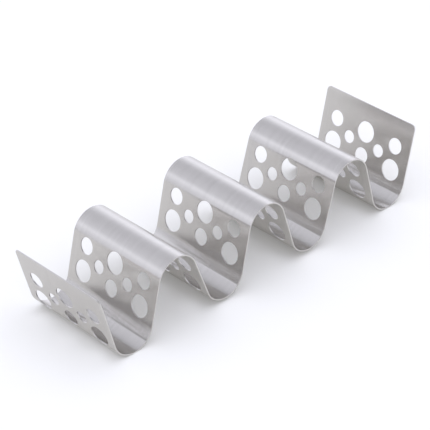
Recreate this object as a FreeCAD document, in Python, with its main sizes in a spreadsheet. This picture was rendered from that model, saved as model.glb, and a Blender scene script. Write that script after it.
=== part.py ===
"""A taco holder: one strip of stainless sheet, punched flat and then folded into four valleys.

Units are millimetres and degrees. X runs along the row of valleys, Y across the strip and Z up.
The origin is in the middle of the holder's length and width, on the surface that it stands on.
The strip stands on its first and last valleys. The two valleys between them ride a little higher,
because its bends aren't all folded equally far, which arches the whole wave slightly.
"""

import FreeCAD, Part
import cmath
import math
import os

import Sketcher
from FreeCAD import Placement, Rotation, Vector

NODE = "folded_sheet"

SIZES = {
    # The sheet
    "strip_width": 100.0,
    "sheet_thickness": 1.0,
    "corner_radius": 4.0,
    # Along the flat strip: from the near end to the centre line of the first bend, from bend to
    # bend, and from the centre line of the last bend to the far end
    "near_flange": 73.7,
    "bend_pitch": 86.0,
    "far_flange": 77.8,
    # The bends: their inside radius, and how far each turns the sheet, from the near end on
    "bend_radius": 18.5,
    "valley_one_turn_deg": 151.5,
    "crest_one_turn_deg": 146.0,
    "valley_two_turn_deg": 146.5,
    "crest_two_turn_deg": 150.0,
    "valley_three_turn_deg": 146.0,
    "crest_three_turn_deg": 148.5,
    "valley_four_turn_deg": 152.0,
    # The punched holes: their diameters, how far apart their rows are, and the plain border
    # between the outermost large holes and the strip's long edges
    "large_hole": 18.2,
    "medium_hole": 13.9,
    "small_hole": 11.0,
    "row_step": 10.7,
    "edge_margin": 7.5,
    # Along the flat strip: from the middle of the first pattern of holes to the first bend, and
    # how much closer than the bends the patterns are across a valley, and how much wider apart
    # across a crest
    "pattern_to_bend": 38.3,
    "closer_over_valley": 1.8,
    "wider_over_crest": 0.7,
}

TURNS = [name for name in SIZES if name.endswith("_turn_deg")]
WALLS = len(TURNS) + 1

# One wall's holes: the column from the middle of the strip, the row from the middle of the pattern,
# counted up the wall, and the size
PATTERN = (
    (-2, 1, "medium_hole"),
    (0, 1, "large_hole"),
    (2, 1, "medium_hole"),
    (-1, 0, "small_hole"),
    (1, 0, "small_hole"),
    (-2, -1, "large_hole"),
    (0, -1, "medium_hole"),
    (2, -1, "large_hole"),
)
OUTER_COLUMN = 2

# Sizes that follow from the named ones, as formulas
MID_RADIUS = "(sizes.bend_radius + sizes.sheet_thickness / 2)"
OUTER_RADIUS = "(sizes.bend_radius + sizes.sheet_thickness)"
OUTER_PLACE = "((sizes.strip_width - sizes.large_hole) / 2 - sizes.edge_margin)"
COLUMN_STEP = f"{OUTER_PLACE} / {OUTER_COLUMN}"

# A side counts as found where it measures within this share of what it should
CLOSE = 0.01

doc = FreeCAD.newDocument("taco_holder")


def add_sizes():
    """The driving sizes, one to a row, each under its own name."""
    sheet = doc.addObject("Spreadsheet::Sheet", "sizes")
    for row, (name, value) in enumerate(SIZES.items(), start=1):
        sheet.set(f"A{row}", name.replace("_", " "))
        sheet.set(f"B{row}", str(value))
        sheet.setAlias(f"B{row}", name)
    doc.recompute()


def worth(formula):
    """What a formula of the named sizes comes to."""
    return doc.getObject("sizes").evalExpression(formula)


def is_valley(bend):
    """The bends are valleys and crests in turn, and the first one is a valley."""
    return bend % 2 == 0


def rises(wall):
    """The walls fall and rise in turn from the near end, and the first one falls."""
    return wall % 2 == 1


def half_bend(bend):
    """The length of sheet from the centre line of a bend to where the bend ends."""
    return f"{MID_RADIUS} * sizes.{TURNS[bend]} * pi / 360"


def bend_place(bend):
    """Where the centre line of a bend is along the flat strip."""
    return f"sizes.near_flange + {bend} * sizes.bend_pitch"


def wall_start(wall):
    """Where a wall's flat part starts along the flat strip."""
    if wall == 0:
        return "0"
    return f"({bend_place(wall - 1)} + {half_bend(wall - 1)})"


def wall_end(wall):
    """Where a wall's flat part ends along the flat strip."""
    if wall == WALLS - 1:
        return f"({bend_place(wall - 1)} + sizes.far_flange)"
    return f"({bend_place(wall)} - {half_bend(wall)})"


def wall_length(wall):
    """The length of a wall's flat part."""
    return f"{wall_end(wall)} - {wall_start(wall)}"


def pattern_place(wall):
    """Where the middle of a wall's holes is along the flat strip."""
    valleys = (wall + 1) // 2
    crests = wall // 2
    place = f"{bend_place(wall)} - sizes.pattern_to_bend"
    return f"({place} - {valleys} * sizes.closer_over_valley + {crests} * sizes.wider_over_crest)"


def pattern_height(wall):
    """How far up a wall the middle of its holes is from the foot of its flat part."""
    if rises(wall):
        return f"{pattern_place(wall)} - {wall_start(wall)}"
    return f"{wall_end(wall)} - {pattern_place(wall)}"


def walk_strip():
    """Where the middle of the folded sheet runs, as complex numbers x + iz, standing on its valleys.

    Gives each wall's two ends, and each bend's centre and its two angles.
    """
    radius = worth(MID_RADIUS)
    turns = [math.radians(SIZES[name]) for name in TURNS]
    place = 0j
    heading = -turns[0] / 2
    walls = []
    bends = []
    for wall in range(WALLS):
        far = place + worth(wall_length(wall)) * cmath.exp(1j * heading)
        walls.append((place, far))
        if wall == WALLS - 1:
            break
        side = 1 if is_valley(wall) else -1
        centre = far + side * 1j * radius * cmath.exp(1j * heading)
        new_heading = heading + side * turns[wall]
        quarter = side * math.pi / 2
        bends.append((centre, heading - quarter, new_heading - quarter))
        place = centre - side * 1j * radius * cmath.exp(1j * new_heading)
        heading = new_heading

    # The whole wave is turned until its last valley is as low as its first
    first, last = bends[0][0], bends[-1][0]
    tilt = cmath.phase(last - first)
    turn = cmath.exp(-1j * tilt)
    floor = (first * turn).imag - worth(OUTER_RADIUS)
    middle = ((walls[0][0] + walls[-1][1]) * turn).real / 2
    shift = -middle - 1j * floor
    walls = [(near * turn + shift, far * turn + shift) for near, far in walls]
    bends = [(centre * turn + shift, start - tilt, end - tilt) for centre, start, end in bends]
    return walls, bends


def flat(point):
    return Vector(point.real, point.imag, 0)


def plane(body, role):
    return next(part for part in body.Origin.OriginFeatures if part.Role == role)


def bind(sketch, name, constraint, formula):
    """Add a dimension under a name of its own, and tie it to a formula of the named sizes."""
    index = sketch.addConstraint(constraint)
    sketch.renameConstraint(index, name)
    sketch.setExpression(f"Constraints.{name}", formula)


def draw_line(sketch, walls, bends, offset):
    """Draw one chain of straights and arcs, offset to the left of the middle of the sheet."""
    lines = []
    for near, far in walls:
        aside = 1j * offset * (far - near) / abs(far - near)
        lines.append(Part.LineSegment(flat(near + aside), flat(far + aside)))
    arcs = []
    for bend, (centre, start, end) in enumerate(bends):
        inward = offset if is_valley(bend) else -offset
        circle = Part.Circle(flat(centre), Vector(0, 0, 1), worth(MID_RADIUS) - inward)
        low, high = (start, end) if is_valley(bend) else (end, start)
        arcs.append(Part.ArcOfCircle(circle, low, high))
    line_ids = sketch.addGeometry(lines, offset == 0)
    arc_ids = sketch.addGeometry(arcs, offset == 0)

    smooth = []
    for bend, arc in enumerate(arc_ids):
        into, out_of = (1, 2) if is_valley(bend) else (2, 1)
        smooth.append(Sketcher.Constraint("Tangent", line_ids[bend], 2, arc, into))
        smooth.append(Sketcher.Constraint("Tangent", arc, out_of, line_ids[bend + 1], 1))
    sketch.addConstraint(smooth)
    return line_ids, arc_ids


def size_bends(sketch, middle_arcs, top_arcs, under_arcs):
    """Each bend's three arcs share a centre, and the sheet is as thick there as anywhere."""
    for bend, (middle, top, under) in enumerate(zip(middle_arcs, top_arcs, under_arcs)):
        sketch.addConstraint(Sketcher.Constraint("Coincident", top, 3, middle, 3))
        sketch.addConstraint(Sketcher.Constraint("Coincident", under, 3, middle, 3))
        radii = ("sizes.bend_radius", OUTER_RADIUS)
        top_radius, under_radius = radii if is_valley(bend) else reversed(radii)
        for side, arc, formula in (
            ("middle", middle, MID_RADIUS),
            ("top", top, top_radius),
            ("under", under, under_radius),
        ):
            radius = Sketcher.Constraint("Radius", arc, worth(formula))
            bind(sketch, f"{side}_radius_{bend}", radius, formula)


def size_walls(sketch, middle_lines):
    """The length of each flat wall, and how far each bend turns the sheet."""
    for wall, line in enumerate(middle_lines):
        formula = wall_length(wall)
        length = Sketcher.Constraint("Distance", line, worth(formula))
        bind(sketch, f"wall_length_{wall}", length, formula)
    for bend, name in enumerate(TURNS):
        before, after = middle_lines[bend], middle_lines[bend + 1]
        pair = (before, after) if is_valley(bend) else (after, before)
        turn = Sketcher.Constraint("Angle", *pair, math.radians(SIZES[name]))
        bind(sketch, name, turn, f"sizes.{name}")


def cut_end(sketch, middle, top, under, end):
    """A free end of the strip is cut square through the sheet."""
    tip = [sketch.getPoint(top, end), sketch.getPoint(under, end)]
    cap = sketch.addGeometry(Part.LineSegment(*tip), False)
    sketch.addConstraint([
        Sketcher.Constraint("Coincident", cap, 1, top, end),
        Sketcher.Constraint("Coincident", cap, 2, under, end),
        Sketcher.Constraint("Perpendicular", cap, middle),
        Sketcher.Constraint("PointOnObject", middle, end, cap),
        Sketcher.Constraint("Parallel", top, middle),
        Sketcher.Constraint("Parallel", under, middle),
    ])


def set_down(sketch, middle_arcs, under_lines):
    """The first and last valleys stand on the ground, and the ends are as far from the middle."""
    for name, arc in (("first_valley", middle_arcs[0]), ("last_valley", middle_arcs[-1])):
        height = Sketcher.Constraint("DistanceY", -1, 1, arc, 3, worth(OUTER_RADIUS))
        bind(sketch, name, height, OUTER_RADIUS)
    near_tip = sketch.getPoint(under_lines[0], 1)
    far_tip = sketch.getPoint(under_lines[-1], 2)
    centre = sketch.addGeometry(Part.Point((near_tip + far_tip) * 0.5), True)
    sketch.addConstraint([
        Sketcher.Constraint("Symmetric", under_lines[0], 1, under_lines[-1], 2, centre, 1),
        Sketcher.Constraint("PointOnObject", centre, 1, -2),
    ])


def read_walls(sketch, walls, middle_lines):
    """Where each wall's foot is and how the wall leans, read off for its holes."""
    for wall, line in enumerate(middle_lines):
        foot = 1 if rises(wall) else 2
        point = sketch.getPoint(line, foot)
        near, far = walls[wall]
        for name, constraint in (
            (f"foot_x_{wall}", Sketcher.Constraint("DistanceX", -1, 1, line, foot, point.x)),
            (f"foot_z_{wall}", Sketcher.Constraint("DistanceY", -1, 1, line, foot, point.y)),
            (f"heading_{wall}", Sketcher.Constraint("Angle", line, cmath.phase(far - near))),
        ):
            index = sketch.addConstraint(constraint)
            sketch.setDriving(index, False)
            sketch.renameConstraint(index, name)


def add_profile(body):
    """The folded sheet seen from its side: a middle line that holds the sizes, and its two faces."""
    sketch = body.newObject("Sketcher::SketchObject", "profile")
    sketch.AttachmentSupport = [(plane(body, "XZ_Plane"), "")]
    sketch.MapMode = "FlatFace"
    walls, bends = walk_strip()
    half = SIZES["sheet_thickness"] / 2
    middle_lines, middle_arcs = draw_line(sketch, walls, bends, 0)
    top_lines, top_arcs = draw_line(sketch, walls, bends, half)
    under_lines, under_arcs = draw_line(sketch, walls, bends, -half)
    size_bends(sketch, middle_arcs, top_arcs, under_arcs)
    size_walls(sketch, middle_lines)
    cut_end(sketch, middle_lines[0], top_lines[0], under_lines[0], 1)
    cut_end(sketch, middle_lines[-1], top_lines[-1], under_lines[-1], 2)
    set_down(sketch, middle_arcs, under_lines)
    read_walls(sketch, walls, middle_lines)
    doc.recompute()
    return sketch


def add_strip(body, profile):
    """The folded strip before it is punched, even about its middle."""
    pad = body.newObject("PartDesign::Pad", "strip")
    pad.Profile = profile
    pad.SideType = "Symmetric"
    pad.setExpression("Length", "sizes.strip_width")
    doc.recompute()
    return pad


def add_rounded_corners(body, strip):
    """The four corners at the free ends: the short edges that run through the sheet there."""
    side = SIZES["strip_width"] / 2
    thickness = SIZES["sheet_thickness"]
    corners = []
    for number, edge in enumerate(strip.Shape.Edges, start=1):
        is_short = abs(edge.Length - thickness) < thickness * CLOSE
        at_side = abs(abs(edge.CenterOfMass.y) - side) < thickness * CLOSE
        if is_short and at_side:
            corners.append(f"Edge{number}")
    fillet = body.newObject("PartDesign::Fillet", "rounded_corners")
    fillet.Base = (strip, corners)
    fillet.setExpression("Radius", "sizes.corner_radius")
    doc.recompute()
    return fillet


def add_hole(sketch, number, column, row, size, height):
    """One punched hole, across the strip from its middle and up the wall from its foot."""
    across = f"{column} * {COLUMN_STEP}"
    up = f"{height} + {row} * sizes.row_step"
    centre = Vector(worth(across), worth(up), 0)
    hole = sketch.addGeometry(Part.Circle(centre, Vector(0, 0, 1), SIZES[size] / 2), False)
    diameter = Sketcher.Constraint("Diameter", hole, SIZES[size])
    bind(sketch, f"diameter_{number}", diameter, f"sizes.{size}")
    bind(sketch, f"up_{number}", Sketcher.Constraint("DistanceY", -1, 1, hole, 3, centre.y), up)
    if column == 0:
        sketch.addConstraint(Sketcher.Constraint("PointOnObject", hole, 3, -2))
        return
    place = Sketcher.Constraint("DistanceX", -1, 1, hole, 3, centre.x)
    bind(sketch, f"across_{number}", place, across)


def add_wall_holes(body, wall):
    """One wall's eight holes, drawn on the middle of its sheet from its foot upwards."""
    sketch = body.newObject("Sketcher::SketchObject", f"holes_{wall}_drawing")
    sketch.AttachmentSupport = [(plane(body, "YZ_Plane"), "")]
    sketch.MapMode = "FlatFace"

    # The drawing turns about the line across the strip, from upright to the lean of its wall
    upright = 90 if rises(wall) else -90
    sketch.AttachmentOffset = Placement(Vector(0, 0, 0), Rotation(Vector(1, 0, 0), upright))
    lean = f"{upright} deg - profile.Constraints.heading_{wall}"
    sketch.setExpression("AttachmentOffset.Rotation.Angle", lean)
    sketch.setExpression("AttachmentOffset.Base.y", f"profile.Constraints.foot_z_{wall}")
    sketch.setExpression("AttachmentOffset.Base.z", f"profile.Constraints.foot_x_{wall}")
    for number, (column, row, size) in enumerate(PATTERN):
        add_hole(sketch, number, column, row, size, pattern_height(wall))

    # The cut is deep enough for a hole that runs on into a bend, and stops short of the next wall
    pocket = body.newObject("PartDesign::Pocket", f"holes_{wall}")
    pocket.Profile = sketch
    pocket.SideType = "Symmetric"
    pocket.Type = "Length"
    pocket.setExpression("Length", "sizes.sheet_thickness + sizes.bend_radius")
    doc.recompute()


def check(body):
    """Stop unless every step worked and the holes took away as much sheet as they should."""
    for item in doc.Objects:
        if "Invalid" in item.State or "Error" in item.State:
            raise RuntimeError(f"{item.Name} failed: {item.State}")
    for sketch in doc.findObjects("Sketcher::SketchObject"):
        if not sketch.FullyConstrained:
            raise RuntimeError(f"{sketch.Name} can still move")
    shape = body.Shape
    if shape.isNull() or not shape.isValid() or len(shape.Solids) != 1:
        raise RuntimeError("the sheet is not one valid solid")
    strip = worth(wall_end(WALLS - 1)) * SIZES["strip_width"]
    punched = sum(math.pi / 4 * SIZES[size] ** 2 for _, _, size in PATTERN) * WALLS
    left = (strip - punched) * SIZES["sheet_thickness"]
    if abs(shape.Volume - left) > left * CLOSE:
        raise RuntimeError(f"volume {shape.Volume:.0f} is not near {left:.0f}")


def main():
    add_sizes()
    body = doc.addObject("PartDesign::Body", NODE)
    body.Label = NODE
    profile = add_profile(body)
    strip = add_strip(body, profile)
    add_rounded_corners(body, strip)
    for wall in range(WALLS):
        add_wall_holes(body, wall)
    check(body)
    os.makedirs("parts", exist_ok=True)
    body.Shape.exportStep(f"parts/{body.Label}.step")
    box = body.Shape.BoundBox
    print(f"{body.Label}: {box.XLength:.1f} x {box.YLength:.1f} x {box.ZLength:.1f} mm")
    print(f"volume {body.Shape.Volume / 1000:.2f} cm3, lowest point {box.ZMin:.3f} mm")


main()
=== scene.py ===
"""A taco holder of satin stainless sheet: one strip, punched flat and then folded into a wave.

X runs along the row of valleys, Y across the strip and Z up. Sizes are millimetres, turned to
metres by MM. The strip is made flat, as a blank, with its length along X and its two faces up and
down. Punches take the holes out of it, and it is then folded along a line of straights and arcs.
"""

import cmath
import math

import bpy
from mathutils import Matrix, Vector


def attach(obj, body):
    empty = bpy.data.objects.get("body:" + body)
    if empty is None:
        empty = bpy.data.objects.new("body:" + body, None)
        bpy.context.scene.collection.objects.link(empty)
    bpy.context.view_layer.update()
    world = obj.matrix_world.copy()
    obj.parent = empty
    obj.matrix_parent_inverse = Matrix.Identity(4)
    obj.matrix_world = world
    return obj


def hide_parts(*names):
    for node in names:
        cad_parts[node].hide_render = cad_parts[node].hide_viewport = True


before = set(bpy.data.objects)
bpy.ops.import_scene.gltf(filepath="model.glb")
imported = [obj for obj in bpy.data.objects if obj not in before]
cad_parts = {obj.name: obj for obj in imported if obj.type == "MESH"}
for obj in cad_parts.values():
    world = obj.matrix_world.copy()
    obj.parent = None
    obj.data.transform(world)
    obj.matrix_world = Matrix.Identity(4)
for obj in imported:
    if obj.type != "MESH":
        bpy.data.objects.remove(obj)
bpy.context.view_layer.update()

MM = 0.001

# The strip, as it is cut
STRIP_WIDTH = 100.0
SHEET_THICKNESS = 1.0
CORNER_RADIUS = 4.0
EDGE_ROUNDING = 0.2

# The folds, from the near end: where the centre lines of the bends are along the flat strip, their
# inside radius, and how far each turns the sheet
NEAR_FLANGE = 73.7
BEND_PITCH = 86.0
FAR_FLANGE = 77.8
BEND_RADIUS = 18.5
TURNS_DEG = (151.5, 146.0, 146.5, 150.0, 146.0, 148.5, 152.0)

# The punched holes. A pattern's middle is PATTERN_TO_BEND before the first bend, and from wall to
# wall the patterns are a little closer than the bends over a valley and a little wider over a crest
HOLES = {"large": 18.2, "medium": 13.9, "small": 11.0}
COLUMN_STEP = 16.7
ROW_STEP = 10.7
PATTERN_TO_BEND = 38.3
CLOSER_OVER_VALLEY = 1.8
WIDER_OVER_CREST = 0.7

# One wall's holes: the column across the strip, the row up the wall, and the size
PATTERN = (
    (-2, 1, "medium"),
    (0, 1, "large"),
    (2, 1, "medium"),
    (-1, 0, "small"),
    (1, 0, "small"),
    (-2, -1, "large"),
    (0, -1, "medium"),
    (2, -1, "large"),
)

WALLS = len(TURNS_DEG) + 1
MID_RADIUS = BEND_RADIUS + SHEET_THICKNESS / 2
HALF_SHEET = SHEET_THICKNESS / 2

# The brushed finish: how long and wide one scratch and one streak of the belt look, how much the
# streaks count beside the scratches, which sums of the two give its darkest and its lightest tone,
# and how deep a scratch is. Last, the size of the marks that tumbling leaves on a cut edge
GRAIN_LENGTH = 40.0
GRAIN_WIDTH = 0.5
STREAK_LENGTH = 110.0
STREAK_WIDTH = 2.4
STREAK_SHARE = 0.5
DARKEST_AT = 0.35
LIGHTEST_AT = 1.15
SCRATCH_DEPTH = 0.003
TUMBLE_SIZE = 0.8

# The map of the sheet, which the grain's direction follows. Each face takes half of the map's
# width, with its middle at the share given here and some room round it. The map shows the cut
# sides four times as wide as they are, so that no step of their rounding lies over the next
SHEET_MAP = "OFBake"
MAP_MARGIN = 6.0
UPPER_MAP_MIDDLE = 0.25
LOWER_MAP_MIDDLE = 0.75
EDGE_SPREAD = 4.0

# A face of the sheet is nearly at the full half thickness, and what is lower belongs to an edge
NEARLY = 0.99

# The studio: the colour of its light, the table's size and its glow, how bright the backdrop is, up
# to how high above the table's level it is white and from where it is dark, in degrees, and how
# bright the dark ceiling is. Each soft lamp has its azimuth from X, its height above the table's
# level and its half width, all in degrees, and its strength. Last, how strong the light is that
# falls on the table from overhead
LIGHT_COLOUR = "#f0f2ff"
FLOOR_SIZE = 6000.0
FLOOR_GLOW = 0.12
BACKDROP = 1.12
BACKDROP_WHITE_TO = 30.0
BACKDROP_DARK_FROM = 44.0
CEILING = 0.12
SOFT_LAMPS = (
    (35, 29, 59, 0.72),
    (134, 64, 67, 1.00),
)
OVERHEAD_LIGHT = 1.90

# The camera: the azimuth from -Y, the elevation and the roll that it sees the holder at, the spot
# that it aims at, how far off it stands, its lens and film, and how far it sees
AZIMUTH_DEG = -41.823
ELEVATION_DEG = 33.196
ROLL_DEG = -2.206
AIM = (5.27, 17.15, 24.91)
CAMERA_DISTANCE = 1613.95
LENS = 166.9
FILM_WIDTH = 36.0
FARTHEST_SEEN = 100000.0

# How finely round things are made
BEND_STEPS = 60
HOLE_STEPS = 64
EDGE_STEPS = 3
CORNER_STEPS = 10
FOLD_LINE_STEPS = 64


def linear(hex_colour):
    """The linear colour of an sRGB hex value."""
    channels = [int(hex_colour[place:place + 2], 16) / 255 for place in (1, 3, 5)]
    bent = [c / 12.92 if c <= 0.04045 else ((c + 0.055) / 1.055) ** 2.4 for c in channels]
    return (*bent, 1.0)


def add(tree, kind, inputs=None, **settings):
    """Add a node: its settings, and then a value or a link for each input that is named."""
    made = tree.nodes.new(kind)
    for name, value in settings.items():
        setattr(made, name, value)
    for name, value in (inputs or {}).items():
        if isinstance(value, bpy.types.NodeSocket):
            tree.links.new(value, made.inputs[name])
        else:
            made.inputs[name].default_value = value
    return made


def mesh_object(name, points, faces):
    """A mesh of points in millimetres, as an object in the scene."""
    mesh = bpy.data.meshes.new(name)
    mesh.from_pydata([Vector(point) * MM for point in points], [], faces)
    mesh.validate()
    made = bpy.data.objects.new(name, mesh)
    bpy.context.scene.collection.objects.link(made)
    return made


def bend_places():
    """Where the centre lines of the bends are along the flat strip."""
    return [NEAR_FLANGE + BEND_PITCH * bend for bend in range(len(TURNS_DEG))]


def strip_length():
    return bend_places()[-1] + FAR_FLANGE


def edge_section():
    """The rounded edge of the sheet from its upper face to its lower one: how far in, how high."""
    corner = HALF_SHEET - EDGE_ROUNDING
    turns = [math.pi / 2 * step / EDGE_STEPS for step in range(EDGE_STEPS + 1)]
    upper = [
        (EDGE_ROUNDING * (1 - math.sin(turn)), corner + EDGE_ROUNDING * math.cos(turn))
        for turn in turns
    ]
    lower = [(inward, -height) for inward, height in reversed(upper)]
    return upper + lower


def blank_stations():
    """Where the blank has a line of points across it: close together in the bends, for the fold."""
    places = []
    for place, turn in zip(bend_places(), TURNS_DEG):
        reach = MID_RADIUS * math.radians(turn) / 2
        places += [place + reach * (2 * step / BEND_STEPS - 1) for step in range(BEND_STEPS + 1)]
    return places


def blank_outline(inward):
    """One long edge of the blank and half of each end: (place along, place across), near end first.

    The outline is moved inward by the given amount, and its corners keep their centres.
    """
    radius = CORNER_RADIUS - inward
    side = STRIP_WIDTH / 2 - CORNER_RADIUS
    turns = [math.pi / 2 * step / CORNER_STEPS for step in range(CORNER_STEPS + 1)]
    near = [
        (CORNER_RADIUS - radius * math.cos(turn), side + radius * math.sin(turn))
        for turn in turns
    ]
    far = [(strip_length() - along, across) for along, across in reversed(near)]
    middle = [(place, side + radius) for place in blank_stations()]
    return near + middle + far


def make_blank():
    """The flat strip with rounded edges and corners, before it is punched and folded."""
    section = edge_section()
    points = []
    for inward, height in section:
        left = blank_outline(inward)
        right = [(along, -across) for along, across in reversed(left)]
        points += [(along, across, height) for along, across in left + right]
    half = len(blank_outline(0))
    ring = 2 * half

    faces = []
    for level in range(len(section) - 1):
        start = level * ring
        for step in range(ring):
            after = (step + 1) % ring
            faces.append((start + step, start + after, start + ring + after, start + ring + step))

    # Each face of the sheet: a row of panels from edge to edge, and a panel with two corners
    # at either end
    bottom = (len(section) - 1) * ring
    first = CORNER_STEPS
    last = half - 1 - CORNER_STEPS
    for start, is_upper in ((0, True), (bottom, False)):
        panels = [list(range(first + 1)) + list(range(ring - 1 - first, ring))]
        panels.append(list(range(last, ring - last)))
        panels += [[step, step + 1, ring - 2 - step, ring - 1 - step] for step in range(first, last)]
        for panel in panels:
            order = panel[::-1] if is_upper else panel
            faces.append([start + step for step in order])
    return mesh_object("blank", points, faces)


def make_punch(name, diameter):
    """A round punch that flares at both faces of the sheet, which leaves the hole's edges rounded.

    It reaches as far beyond each face of the sheet as half the sheet's thickness.
    """
    top = 2 * HALF_SHEET
    section = edge_section()
    profile = [(section[0][0], top)] + section + [(section[-1][0], -top)]
    points = []
    for inward, height in profile:
        radius = diameter / 2 + inward
        for step in range(HOLE_STEPS):
            turn = 2 * math.pi * step / HOLE_STEPS
            points.append((radius * math.cos(turn), radius * math.sin(turn), height))
    faces = [list(range(HOLE_STEPS))]
    for level in range(len(profile) - 1):
        start = level * HOLE_STEPS
        for step in range(HOLE_STEPS):
            after = (step + 1) % HOLE_STEPS
            low = start + HOLE_STEPS
            faces.append((start + step, low + step, low + after, start + after))
    faces.append(list(range(len(points) - HOLE_STEPS, len(points)))[::-1])
    return mesh_object(name, points, faces)


def fold_points():
    """The line that the middle of the sheet is folded along, as x + iz, and its heading.

    Each bend has a point where it starts, one half-way round and one where it ends. The line is
    set down on its first and last valleys, with its two ends as far from the middle.
    """
    heading = -math.radians(TURNS_DEG[0]) / 2
    place = 0j
    points = [(place, heading)]
    centres = []
    gone = 0.0
    for bend, (line, turn_deg) in enumerate(zip(bend_places(), TURNS_DEG)):
        turn = math.radians(turn_deg)
        side = 1 if bend % 2 == 0 else -1
        place += (line - MID_RADIUS * turn / 2 - gone) * cmath.exp(1j * heading)
        centre = place + side * 1j * MID_RADIUS * cmath.exp(1j * heading)
        centres.append(centre)
        for share in (0, 0.5, 1):
            now = heading + side * turn * share
            points.append((centre - side * 1j * MID_RADIUS * cmath.exp(1j * now), now))
        place, heading = points[-1]
        gone = line + MID_RADIUS * turn / 2
    points.append((place + (strip_length() - gone) * cmath.exp(1j * heading), heading))

    tilt = cmath.phase(centres[-1] - centres[0])
    level = cmath.exp(-1j * tilt)
    floor = (centres[0] * level).imag - MID_RADIUS - HALF_SHEET
    middle = (points[0][0] + points[-1][0]) * level / 2
    shift = complex(middle.real, floor)
    return [(point * level - shift, heading - tilt) for point, heading in points]


def make_fold_line():
    """The fold line as a smooth curve: straight along the walls and round along the bends."""
    points = fold_points()
    curve = bpy.data.curves.new("fold_line", "CURVE")
    curve.dimensions = "3D"
    curve.resolution_u = FOLD_LINE_STEPS
    spline = curve.splines.new("BEZIER")
    spline.bezier_points.add(len(points) - 1)
    for index, (point, heading) in enumerate(points):
        knot = spline.bezier_points[index]
        knot.handle_left_type = "FREE"
        knot.handle_right_type = "FREE"
        knot.co = Vector((point.real, 0, point.imag)) * MM
        knot.handle_left = knot.co
        knot.handle_right = knot.co

    # Along a bend the handles have the length that keeps the curve round
    for index in range(len(points) - 1):
        near, far = spline.bezier_points[index], spline.bezier_points[index + 1]
        turn = abs(points[index + 1][1] - points[index][1])
        if turn:
            reach = 4 / 3 * math.tan(turn / 4) * MID_RADIUS * MM
        else:
            reach = (far.co - near.co).length / 3
        for knot, heading, ahead in ((near, points[index][1], 1), (far, points[index + 1][1], -1)):
            handle = knot.co + Vector((math.cos(heading), 0, math.sin(heading))) * reach * ahead
            if ahead == 1:
                knot.handle_right = handle
            else:
                knot.handle_left = handle
    made = bpy.data.objects.new("fold_line", curve)
    bpy.context.scene.collection.objects.link(made)
    return made


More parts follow.
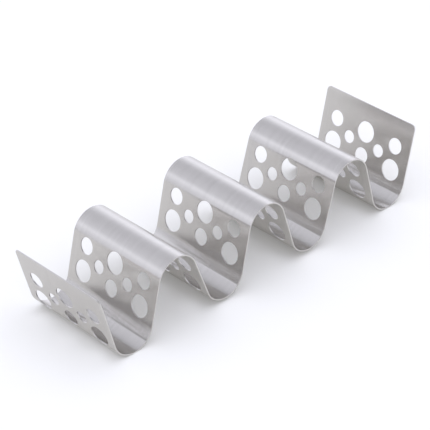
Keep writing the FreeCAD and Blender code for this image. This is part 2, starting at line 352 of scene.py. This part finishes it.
def punch_and_fold_tree():
    """Punch the holes out of a flat blank, lay out its map, and fold it along the fold line."""
    tree = bpy.data.node_groups.new("punch and fold", "GeometryNodeTree")
    tree.interface.new_socket("Blank", in_out="INPUT", socket_type="NodeSocketGeometry")
    for name, kind in (
        ("Fold line", "Object"),
        ("Large punch", "Object"),
        ("Medium punch", "Object"),
        ("Small punch", "Object"),
        ("Hole steps", "Vector"),
        ("First falling wall", "Vector"),
        ("First rising wall", "Vector"),
        ("Two walls on", "Vector"),
        ("Pairs of walls", "Int"),
        ("Half sheet", "Float"),
        ("Flat side", "Float"),
        ("Edge spread", "Float"),
        ("Upper map corner", "Vector"),
        ("Upper map scale", "Vector"),
        ("Lower map corner", "Vector"),
        ("Lower map scale", "Vector"),
        ("Brushed face", "Material"),
        ("Cut edge", "Material"),
    ):
        tree.interface.new_socket(name, in_out="INPUT", socket_type=f"NodeSocket{kind}")
    tree.interface.new_socket("Sheet", in_out="OUTPUT", socket_type="NodeSocketGeometry")
    given = add(tree, "NodeGroupInput").outputs

    # One wall's eight punches, about the middle of its pattern
    one_wall = add(tree, "GeometryNodeJoinGeometry")
    for column, row, size in PATTERN:
        punch = add(tree, "GeometryNodeObjectInfo", {"Object": given[f"{size.capitalize()} punch"]})
        place = add(tree, "ShaderNodeVectorMath", {
            0: given["Hole steps"],
            1: (row, column, 0),
        }, operation="MULTIPLY")
        moved = add(tree, "GeometryNodeTransform", {
            "Geometry": punch.outputs["Geometry"],
            "Translation": place.outputs[0],
        })
        tree.links.new(moved.outputs[0], one_wall.inputs[0])

    # Falling and rising walls take turns, and the pattern stands on its head where the wall falls
    all_walls = add(tree, "GeometryNodeJoinGeometry")
    for first, half_turn in (("First falling wall", math.pi), ("First rising wall", 0)):
        walls = add(tree, "GeometryNodeMeshLine", {
            "Count": given["Pairs of walls"],
            "Start Location": given[first],
            "Offset": given["Two walls on"],
        })
        sets = add(tree, "GeometryNodeInstanceOnPoints", {
            "Points": walls.outputs[0],
            "Instance": one_wall.outputs[0],
            "Rotation": (0, 0, half_turn),
        })
        tree.links.new(sets.outputs[0], all_walls.inputs[0])
    punches = add(tree, "GeometryNodeRealizeInstances", {"Geometry": all_walls.outputs[0]})
    punched = add(tree, "GeometryNodeMeshBoolean", {
        "Mesh 1": given["Blank"],
        "Mesh 2": punches.outputs[0],
    }, operation="DIFFERENCE", solver="MANIFOLD")

    # Each point keeps its place on the flat sheet, which the brushed grain follows
    place = add(tree, "GeometryNodeInputPosition").outputs[0]
    placed = add(tree, "GeometryNodeStoreNamedAttribute", {
        "Geometry": punched.outputs["Mesh"],
        "Name": "flat_place",
        "Value": place,
    }, data_type="FLOAT_VECTOR", domain="POINT")

    # Which way each point faces while the sheet is flat: straight up or down on the two faces,
    # level on the cut sides, and in between round the edges
    height = add(tree, "ShaderNodeSeparateXYZ", {0: place}).outputs["Z"]
    reach = add(tree, "ShaderNodeMath", {0: height}, operation="ABSOLUTE").outputs[0]
    rise = add(tree, "ShaderNodeMapRange", {
        "Value": reach,
        "From Min": given["Flat side"],
        "From Max": given["Half sheet"],
    }).outputs[0]
    side = add(tree, "ShaderNodeMath", {0: height}, operation="SIGN").outputs[0]
    upright = add(tree, "ShaderNodeMath", {0: rise, 1: side}, operation="MULTIPLY").outputs[0]
    slope = add(tree, "ShaderNodeMath", {0: rise}, operation="ARCSINE").outputs[0]
    level_share = add(tree, "ShaderNodeMath", {0: slope}, operation="COSINE").outputs[0]
    facing = add(tree, "GeometryNodeInputNormal").outputs["Normal"]
    level = add(tree, "ShaderNodeVectorMath", {0: facing, 1: (1, 1, 0)}, operation="MULTIPLY")
    outward = add(tree, "ShaderNodeVectorMath", {0: level.outputs[0]}, operation="NORMALIZE").outputs[0]
    level = add(tree, "ShaderNodeVectorMath", {0: outward, "Scale": level_share}, operation="SCALE")
    upright = add(tree, "ShaderNodeCombineXYZ", {"Z": upright})
    facing = add(tree, "ShaderNodeVectorMath", {
        0: level.outputs[0],
        1: upright.outputs[0],
    }, operation="ADD")
    faced = add(tree, "GeometryNodeStoreNamedAttribute", {
        "Geometry": placed.outputs[0],
        "Name": "flat_facing",
        "Value": facing.outputs[0],
    }, data_type="FLOAT_VECTOR", domain="POINT")

    # The map: the lower face lies beside the upper one, which has the cut sides laid flat round it
    depth = add(tree, "ShaderNodeMath", {0: given["Half sheet"], 1: height}, operation="SUBTRACT")
    unrolled = add(tree, "ShaderNodeMath", {
        0: depth.outputs[0],
        1: given["Edge spread"],
    }, operation="MULTIPLY")
    laid_flat = add(tree, "ShaderNodeVectorMath", {
        0: outward,
        1: unrolled.outputs[0],
        2: place,
    }, operation="MULTIPLY_ADD")
    on_upper = add(tree, "ShaderNodeVectorMath", {
        0: laid_flat.outputs[0],
        1: given["Upper map scale"],
        2: given["Upper map corner"],
    }, operation="MULTIPLY_ADD")
    on_lower = add(tree, "ShaderNodeVectorMath", {
        0: place,
        1: given["Lower map scale"],
        2: given["Lower map corner"],
    }, operation="MULTIPLY_ADD")
    face_height = add(tree, "GeometryNodeFieldOnDomain", {0: height}, data_type="FLOAT", domain="FACE")
    edge_height = add(tree, "ShaderNodeMath", {
        0: given["Half sheet"],
        1: NEARLY,
    }, operation="MULTIPLY")
    lowest = add(tree, "ShaderNodeMath", {0: edge_height.outputs[0], 1: -1}, operation="MULTIPLY")
    is_lower = add(tree, "FunctionNodeCompare", {
        "A": face_height.outputs[0],
        "B": lowest.outputs[0],
    }, operation="LESS_THAN")
    spot = add(tree, "GeometryNodeSwitch", {
        "Switch": is_lower.outputs[0],
        "False": on_upper.outputs[0],
        "True": on_lower.outputs[0],
    }, input_type="VECTOR")
    spot = add(tree, "ShaderNodeSeparateXYZ", {0: spot.outputs[0]}).outputs
    spot = add(tree, "ShaderNodeCombineXYZ", {"X": spot["Y"], "Y": spot["X"]})
    mapped = add(tree, "GeometryNodeStoreNamedAttribute", {
        "Geometry": faced.outputs[0],
        "Name": SHEET_MAP,
        "Value": spot.outputs[0],
    }, data_type="FLOAT2", domain="CORNER")

    # The fold: a point goes to where its place along the strip is on the fold line, and stays as
    # far above or below it
    kept = add(tree, "GeometryNodeInputNamedAttribute", {"Name": "flat_place"}, data_type="FLOAT_VECTOR")
    kept = add(tree, "ShaderNodeSeparateXYZ", {0: kept.outputs["Attribute"]}).outputs
    line = add(tree, "GeometryNodeObjectInfo", {"Object": given["Fold line"]})
    sample = add(tree, "GeometryNodeSampleCurve", {
        "Curves": line.outputs["Geometry"],
        "Length": kept["X"],
    }, mode="LENGTH").outputs
    above = add(tree, "ShaderNodeVectorMath", {
        0: sample["Tangent"],
        1: (0, 1, 0),
    }, operation="CROSS_PRODUCT").outputs[0]
    raised = add(tree, "ShaderNodeVectorMath", {
        0: above,
        1: kept["Z"],
        2: sample["Position"],
    }, operation="MULTIPLY_ADD")
    aside = add(tree, "ShaderNodeCombineXYZ", {"Y": kept["Y"]})
    spot = add(tree, "ShaderNodeVectorMath", {0: raised.outputs[0], 1: aside.outputs[0]}, operation="ADD")
    folded = add(tree, "GeometryNodeSetPosition", {
        "Geometry": mapped.outputs[0],
        "Position": spot.outputs[0],
    })

    # The way that each point faces is folded with it
    kept = add(tree, "GeometryNodeInputNamedAttribute", {"Name": "flat_facing"}, data_type="FLOAT_VECTOR")
    kept = add(tree, "ShaderNodeSeparateXYZ", {0: kept.outputs["Attribute"]}).outputs
    aside = add(tree, "ShaderNodeCombineXYZ", {"Y": kept["Y"]})
    forward = add(tree, "ShaderNodeVectorMath", {
        0: sample["Tangent"],
        1: kept["X"],
        2: aside.outputs[0],
    }, operation="MULTIPLY_ADD")
    facing = add(tree, "ShaderNodeVectorMath", {
        0: above,
        1: kept["Z"],
        2: forward.outputs[0],
    }, operation="MULTIPLY_ADD")
    smooth = add(tree, "GeometryNodeSetShadeSmooth", {"Geometry": folded.outputs[0], "Shade Smooth": True})
    smooth = add(tree, "GeometryNodeSetMeshNormal", {
        "Mesh": smooth.outputs[0],
        "Custom Normal": facing.outputs[0],
    }, mode="FREE", domain="POINT")

    # The two finishes: brushed on the two faces, and sheared and tumbled on the cut edges
    kept = add(tree, "GeometryNodeInputNamedAttribute", {"Name": "flat_place"}, data_type="FLOAT_VECTOR")
    height = add(tree, "ShaderNodeSeparateXYZ", {0: kept.outputs["Attribute"]}).outputs["Z"]
    reach = add(tree, "ShaderNodeMath", {0: height}, operation="ABSOLUTE").outputs[0]
    is_edge = add(tree, "FunctionNodeCompare", {
        "A": reach,
        "B": edge_height.outputs[0],
    }, operation="LESS_THAN")
    whole = add(tree, "GeometryNodeRealizeInstances", {"Geometry": smooth.outputs[0]})
    finished = add(tree, "GeometryNodeSetMaterial", {
        "Geometry": whole.outputs[0],
        "Material": given["Brushed face"],
    })
    finished = add(tree, "GeometryNodeSetMaterial", {
        "Geometry": finished.outputs[0],
        "Selection": is_edge.outputs[0],
        "Material": given["Cut edge"],
    })
    add(tree, "NodeGroupOutput", {"Sheet": finished.outputs[0]})
    return tree


def brushed_stainless():
    """Stainless sheet, brushed along the strip with a fine belt before it was cut and folded.

    The grain spreads what the sheet reflects far out to either side of it, across the strip, and
    hardly at all along it. So the bends carry long soft bands of light from edge to edge, the line
    where one wall's reflection starts in the next stays fairly crisp, and holes are mirrored only
    as smears. The steel is a slightly warm grey, so what has been reflected twice, deep in a
    trough, looks warmer.
    """
    material = bpy.data.materials.new("brushed stainless")
    material.use_nodes = True
    tree = material.node_tree
    place = add(tree, "ShaderNodeAttribute", attribute_name="flat_place").outputs["Vector"]

    # A belt's grain is about 0.1 mm wide, too fine to show, and is drawn about 0.5 mm wide here
    grain_scale = (1 / (GRAIN_LENGTH * MM), 1 / (GRAIN_WIDTH * MM), 1 / MM)
    grain_place = add(tree, "ShaderNodeMapping", {"Vector": place, "Scale": grain_scale})
    grain = add(tree, "ShaderNodeTexNoise", {
        "Vector": grain_place.outputs[0],
        "Scale": 1.0,
        "Detail": 3.0,
        "Roughness": 0.6,
    })

    # Where the belt pressed harder, wider streaks run on for a hand's breadth
    streak_scale = (1 / (STREAK_LENGTH * MM), 1 / (STREAK_WIDTH * MM), 1 / MM)
    streak_place = add(tree, "ShaderNodeMapping", {"Vector": place, "Scale": streak_scale})
    streak = add(tree, "ShaderNodeTexNoise", {
        "Vector": streak_place.outputs[0],
        "Scale": 1.0,
        "Detail": 2.0,
        "Roughness": 0.5,
    })
    both = add(tree, "ShaderNodeMath", {
        0: streak.outputs[0],
        1: STREAK_SHARE,
        2: grain.outputs[0],
    }, operation="MULTIPLY_ADD")

    tint = add(tree, "ShaderNodeMapRange", {
        "Value": both.outputs[0],
        "From Min": DARKEST_AT,
        "From Max": LIGHTEST_AT,
    })
    colour = add(tree, "ShaderNodeMix", {
        "Factor": tint.outputs[0],
        "A": linear("#c2bfba"),
        "B": linear("#d3d0cb"),
    }, data_type="RGBA")
    roughness = add(tree, "ShaderNodeMapRange", {
        "Value": both.outputs[0],
        "From Min": DARKEST_AT,
        "From Max": LIGHTEST_AT,
        "To Min": 0.23,
        "To Max": 0.27,
    })
    scratched = add(tree, "ShaderNodeBump", {
        "Height": grain.outputs[0],
        "Strength": 1.0,
        "Distance": SCRATCH_DEPTH * MM,
    })
    across = add(tree, "ShaderNodeTangent", direction_type="UV_MAP", uv_map=SHEET_MAP)
    shader = tree.nodes["Principled BSDF"]
    shader.inputs["Metallic"].default_value = 1.0
    shader.inputs["Anisotropic"].default_value = 1.0
    tree.links.new(colour.outputs[2], shader.inputs["Base Color"])
    tree.links.new(roughness.outputs[0], shader.inputs["Roughness"])
    tree.links.new(scratched.outputs[0], shader.inputs["Normal"])
    tree.links.new(across.outputs[0], shader.inputs["Tangent"])
    return material


def cut_stainless():
    """The cut edge of the sheet, sheared by the press and then tumbled to take off its burr.

    It is bare bright steel with no grain of its own, so the long edges show as fine light lines
    against the brushed faces.
    """
    material = bpy.data.materials.new("cut edge of stainless")
    material.use_nodes = True
    tree = material.node_tree
    place = add(tree, "ShaderNodeAttribute", attribute_name="flat_place").outputs["Vector"]
    tumble_scale = (1 / (TUMBLE_SIZE * MM),) * 3
    tumbled_place = add(tree, "ShaderNodeMapping", {"Vector": place, "Scale": tumble_scale})
    tumbled = add(tree, "ShaderNodeTexNoise", {
        "Vector": tumbled_place.outputs[0],
        "Scale": 1.0,
        "Detail": 2.0,
    })
    colour = add(tree, "ShaderNodeMix", {
        "Factor": tumbled.outputs[0],
        "A": linear("#b6b3af"),
        "B": linear("#e1deda"),
    }, data_type="RGBA")
    roughness = add(tree, "ShaderNodeMapRange", {
        "Value": tumbled.outputs[0],
        "To Min": 0.26,
        "To Max": 0.40,
    })
    shader = tree.nodes["Principled BSDF"]
    shader.inputs["Metallic"].default_value = 1.0
    tree.links.new(colour.outputs[2], shader.inputs["Base Color"])
    tree.links.new(roughness.outputs[0], shader.inputs["Roughness"])
    return material


def make_sheet():
    """The whole holder: the blank, punched and folded."""
    blank = make_blank()
    punches = {size: make_punch(f"{size}_punch", diameter) for size, diameter in HOLES.items()}
    fold_line = make_fold_line()
    tree = punch_and_fold_tree()
    first_pattern = NEAR_FLANGE - PATTERN_TO_BEND
    over_valley = BEND_PITCH - CLOSER_OVER_VALLEY
    over_crest = BEND_PITCH + WIDER_OVER_CREST
    map_length = strip_length() + 2 * MAP_MARGIN
    map_width = STRIP_WIDTH + 2 * MAP_MARGIN
    given = {
        "Fold line": fold_line,
        "Large punch": punches["large"],
        "Medium punch": punches["medium"],
        "Small punch": punches["small"],
        "Hole steps": Vector((ROW_STEP, COLUMN_STEP, 0)) * MM,
        "First falling wall": Vector((first_pattern, 0, 0)) * MM,
        "First rising wall": Vector((first_pattern + over_valley, 0, 0)) * MM,
        "Two walls on": Vector((over_valley + over_crest, 0, 0)) * MM,
        "Pairs of walls": WALLS // 2,
        "Half sheet": HALF_SHEET * MM,
        "Flat side": (HALF_SHEET - EDGE_ROUNDING) * MM,
        "Edge spread": EDGE_SPREAD,
        "Upper map corner": (1 - MAP_MARGIN / map_length, UPPER_MAP_MIDDLE, 0),
        "Upper map scale": (-1 / (map_length * MM), 0.5 / (map_width * MM), 0),
        "Lower map corner": (MAP_MARGIN / map_length, LOWER_MAP_MIDDLE, 0),
        "Lower map scale": (1 / (map_length * MM), 0.5 / (map_width * MM), 0),
        "Brushed face": brushed_stainless(),
        "Cut edge": cut_stainless(),
    }
    blank.data.materials.append(given["Brushed face"])
    folding = blank.modifiers.new("punch and fold", "NODES")
    folding.node_group = tree
    for socket in tree.interface.items_tree:
        if socket.in_out == "INPUT" and socket.name in given:
            folding[socket.identifier] = given[socket.name]
    evaluated = blank.evaluated_get(bpy.context.evaluated_depsgraph_get())
    mesh = bpy.data.meshes.new_from_object(evaluated)
    mesh.name = "sheet"
    sheet = bpy.data.objects.new("sheet", mesh)
    bpy.context.scene.collection.objects.link(sheet)
    for tool in (blank, fold_line, *punches.values()):
        bpy.data.objects.remove(tool)
    return sheet


def add_camera():
    """The camera, at the angle that the object is seen from."""
    azimuth = math.radians(AZIMUTH_DEG)
    elevation = math.radians(ELEVATION_DEG)
    roll = math.radians(ROLL_DEG)
    back = Vector((
        math.sin(azimuth) * math.cos(elevation),
        -math.cos(azimuth) * math.cos(elevation),
        math.sin(elevation),
    ))
    right = Vector((0, 0, 1)).cross(back).normalized()
    up = back.cross(right)
    turned_right = right * math.cos(roll) + up * math.sin(roll)
    turned_up = up * math.cos(roll) - right * math.sin(roll)
    data = bpy.data.cameras.new("camera")
    data.lens = LENS
    data.sensor_width = FILM_WIDTH
    data.clip_end = FARTHEST_SEEN * MM
    camera = bpy.data.objects.new("camera", data)
    rotation = Matrix((turned_right, turned_up, back)).transposed().to_4x4()
    place = (Vector(AIM) + back * CAMERA_DISTANCE) * MM
    camera.matrix_world = Matrix.Translation(place) @ rotation
    bpy.context.scene.collection.objects.link(camera)
    bpy.context.scene.camera = camera


def seen_directly(tree):
    """One for what the camera sees, itself or mirrored or through glass, and nought for other light."""
    path = add(tree, "ShaderNodeLightPath").outputs
    bounced = add(tree, "ShaderNodeMath", {
        0: path["Is Glossy Ray"],
        1: path["Is Transmission Ray"],
    }, operation="MAXIMUM")
    return add(tree, "ShaderNodeMath", {
        0: bounced.outputs[0],
        1: path["Is Camera Ray"],
    }, operation="MAXIMUM").outputs[0]


def add_floor():
    """A wide table of matt white laminate, which mirrors nothing and takes a soft shadow.

    It glows a little, so that it is plain white and the shadow stays light.
    """
    half = FLOOR_SIZE / 2
    corners = [(-half, -half, 0), (half, -half, 0), (half, half, 0), (-half, half, 0)]
    floor = mesh_object("floor", corners, [(0, 1, 2, 3)])
    material = bpy.data.materials.new("matt white laminate")
    material.use_nodes = True
    tree = material.node_tree
    shader = tree.nodes["Principled BSDF"]
    shader.inputs["Base Color"].default_value = linear("#e9e8e3")
    shader.inputs["Roughness"].default_value = 1.0
    shader.inputs["Specular IOR Level"].default_value = 0.0
    shader.inputs["Emission Color"].default_value = linear("#ffffff")
    glow = add(tree, "ShaderNodeMath", {0: seen_directly(tree), 1: FLOOR_GLOW}, operation="MULTIPLY")
    tree.links.new(glow.outputs[0], shader.inputs["Emission Strength"])
    floor.data.materials.append(material)


def add_light():
    """The studio: a white backdrop all round, a dark ceiling and two big soft lamps behind.

    The camera and the steel see the backdrop, the ceiling and the lamps. The table, which mirrors
    nothing, is lit from overhead at the level that shows white as white.
    """
    world = bpy.data.worlds.new("studio")
    bpy.context.scene.world = world
    world.use_nodes = True
    tree = world.node_tree
    way = add(tree, "ShaderNodeTexCoord").outputs["Generated"]
    height = add(tree, "ShaderNodeSeparateXYZ", {0: way}).outputs["Z"]
    rise = add(tree, "ShaderNodeMath", {0: height}, operation="ARCSINE")
    backdrop = add(tree, "ShaderNodeMapRange", {
        "Value": rise.outputs[0],
        "From Min": math.radians(BACKDROP_WHITE_TO),
        "From Max": math.radians(BACKDROP_DARK_FROM),
        "To Min": BACKDROP,
        "To Max": CEILING,
    }, interpolation_type="SMOOTHSTEP")
    seen = backdrop.outputs[0]
    for lamp_azimuth, lamp_rise, half_width, strength in SOFT_LAMPS:
        heading = Matrix.Rotation(math.radians(lamp_azimuth), 3, "Z")
        lamp = heading @ Matrix.Rotation(-math.radians(lamp_rise), 3, "Y") @ Vector((1, 0, 0))
        nearness = add(tree, "ShaderNodeVectorMath", {0: way, 1: lamp}, operation="DOT_PRODUCT")
        away = add(tree, "ShaderNodeMath", {0: nearness.outputs["Value"]}, operation="ARCCOSINE")
        glow = add(tree, "ShaderNodeMapRange", {
            "Value": away.outputs[0],
            "From Min": math.radians(half_width),
            "From Max": 0.0,
            "To Max": strength,
        }, interpolation_type="SMOOTHSTEP")
        seen = add(tree, "ShaderNodeMath", {0: seen, 1: glow.outputs[0]}, operation="ADD").outputs[0]
    overhead = add(tree, "ShaderNodeMath", {0: height, 1: OVERHEAD_LIGHT}, operation="MULTIPLY")

    strength = add(tree, "ShaderNodeMix", {
        "Factor": seen_directly(tree),
        "A": overhead.outputs[0],
        "B": seen,
    }, data_type="FLOAT")
    background = tree.nodes["Background"]
    background.inputs["Color"].default_value = linear(LIGHT_COLOUR)
    tree.links.new(strength.outputs["Result"], background.inputs["Strength"])


sheet = make_sheet()
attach(sheet, "root")
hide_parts("folded_sheet")
add_camera()
add_floor()
add_light()
bpy.context.scene.view_settings.view_transform = "Standard"
